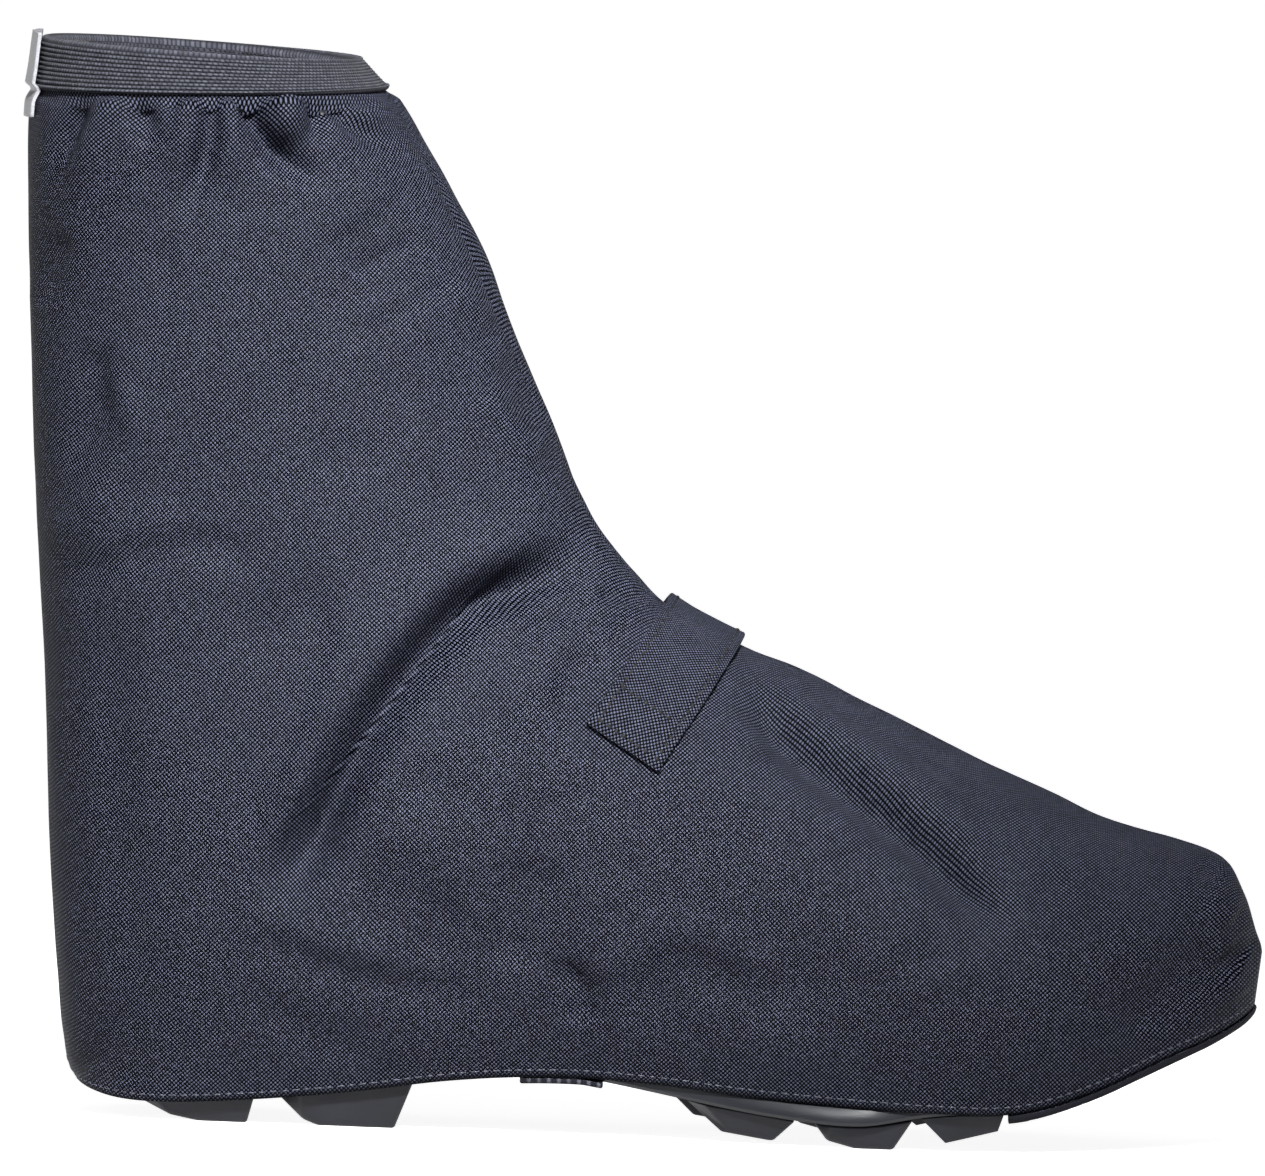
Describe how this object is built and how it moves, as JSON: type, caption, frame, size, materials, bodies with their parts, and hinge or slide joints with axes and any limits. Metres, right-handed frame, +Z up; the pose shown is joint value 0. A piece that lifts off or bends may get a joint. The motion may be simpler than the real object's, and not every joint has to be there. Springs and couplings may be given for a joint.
{
  "type": "cycling overshoe",
  "caption": "Ankle-high fabric cycling overshoe, hollow and empty, with an elastic collar, a strap over the instep, and a lugged sole it stands on.",
  "frame": {"origin": "on the floor, under the middle of the overall box", "axes": "+X towards the toe, +Y towards the inner side of the foot, +Z up"},
  "size_m": [0.3183, 0.1073, 0.2695],
  "materials": {
    "coated_fabric": "plain-woven coated polyester, matt with a faint sheen",
    "elastic_tape": "ribbed woven elastic, matt",
    "loop_pile": "short loop pile, matt",
    "reflective_tape": "silver-grey reflective tape",
    "sole_nylon": "moulded nylon, satin",
    "tread_rubber": "moulded rubber, satin"
  },
  "bodies": {
    "root": {"upper": "coated_fabric", "collar_band": "elastic_tape", "collar_loop_patch": "loop_pile", "reflective_tab": "reflective_tape", "instep_strap": "coated_fabric", "arch_strap": "elastic_tape", "toe_underlay": "coated_fabric", "sole_plate": "sole_nylon", "tread_heel_rear_out": "tread_rubber", "tread_heel_rear_in": "tread_rubber", "tread_heel_front_out": "tread_rubber", "tread_heel_front_in": "tread_rubber", "tread_ball_rear_out": "tread_rubber", "tread_ball_rear_in": "tread_rubber", "tread_ball_middle_out": "tread_rubber", "tread_ball_middle_in": "tread_rubber", "tread_ball_front_out": "tread_rubber", "tread_ball_front_in": "tread_rubber"}
  },
  "joints": []
}
